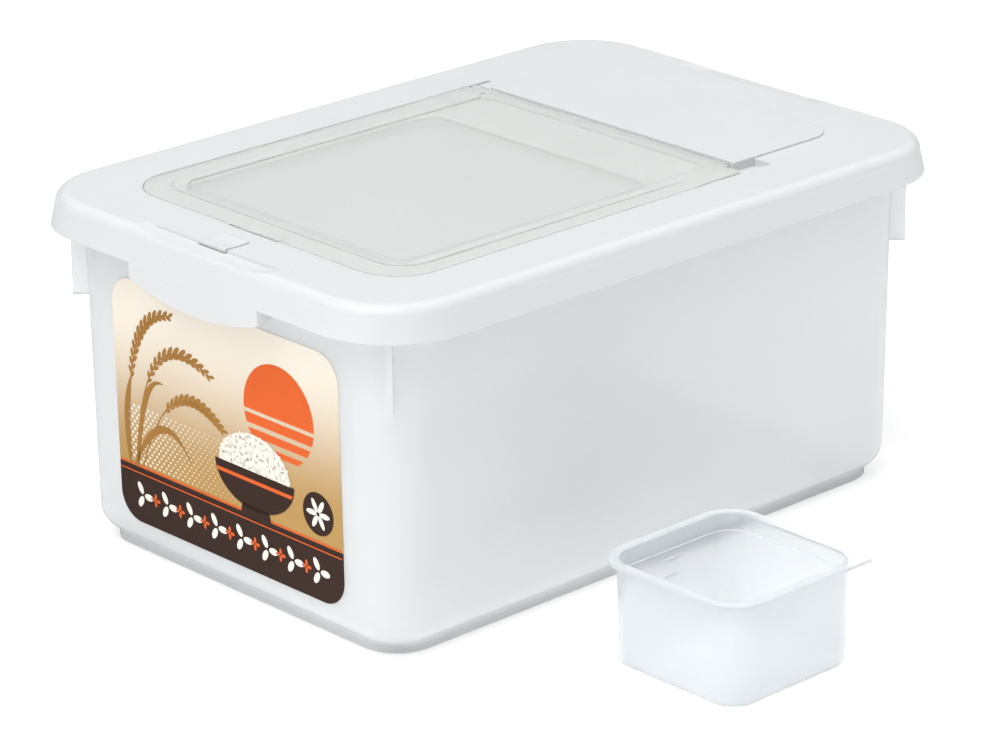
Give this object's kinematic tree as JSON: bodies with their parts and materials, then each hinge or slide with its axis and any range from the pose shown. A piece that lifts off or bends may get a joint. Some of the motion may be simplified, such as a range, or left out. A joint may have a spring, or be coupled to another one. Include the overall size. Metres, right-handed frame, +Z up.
{
  "type": "rice bin with flip lid",
  "caption": "Rectangular frosted rice bin with a lift-off white lid, a hinged flip lid with a press tab, a front label and a square measuring cup.",
  "frame": {"origin": "centre of the bin's foot, on the floor", "axes": "+Z up, the labelled front faces -Y, the bin's long side lies along Y, the cup stands on the +X side"},
  "size_m": [0.3345, 0.324, 0.152],
  "materials": {
    "frosted_plastic": "frosted natural polypropylene, smooth outside",
    "white_plastic": "opaque white polypropylene, satin",
    "flip_lid_plastic": "translucent polypropylene, smooth",
    "tab_plastic": "opaque white polypropylene, satin",
    "label_paper": "glossy printed sticker",
    "clear_plastic": "clear natural polypropylene"
  },
  "bodies": {
    "bin": {"tub": "frosted_plastic", "label": "label_paper"},
    "lid": {"lid_frame": "white_plastic"},
    "flip_lid": {"flap": "flip_lid_plastic"},
    "tab": {"press_tab": "tab_plastic"},
    "cup": {"measuring_cup": "clear_plastic"}
  },
  "joints": [
    {"name": "lid_lift", "type": "slide", "parent": "bin", "child": "lid", "axis": [0, 0, 1], "range_m": [0, 0.06]},
    {"name": "flip_lid_hinge", "type": "hinge", "parent": "lid", "child": "flip_lid", "pos_m": [0, 0.063, 0.1496], "axis": [-1, 0, 0], "range_deg": [0, 100]},
    {"name": "tab_press", "type": "hinge", "parent": "lid", "child": "tab", "pos_m": [0, -0.14, 0.1494], "axis": [1, 0, 0], "range_deg": [0, 5], "stiffness_Nm_per_rad": 0.3, "springref_deg": -1.72},
    {"name": "cup_lift", "type": "slide", "parent": "bin", "child": "cup", "axis": [0, 0, 1], "range_m": [0, 0.1]}
  ]
}
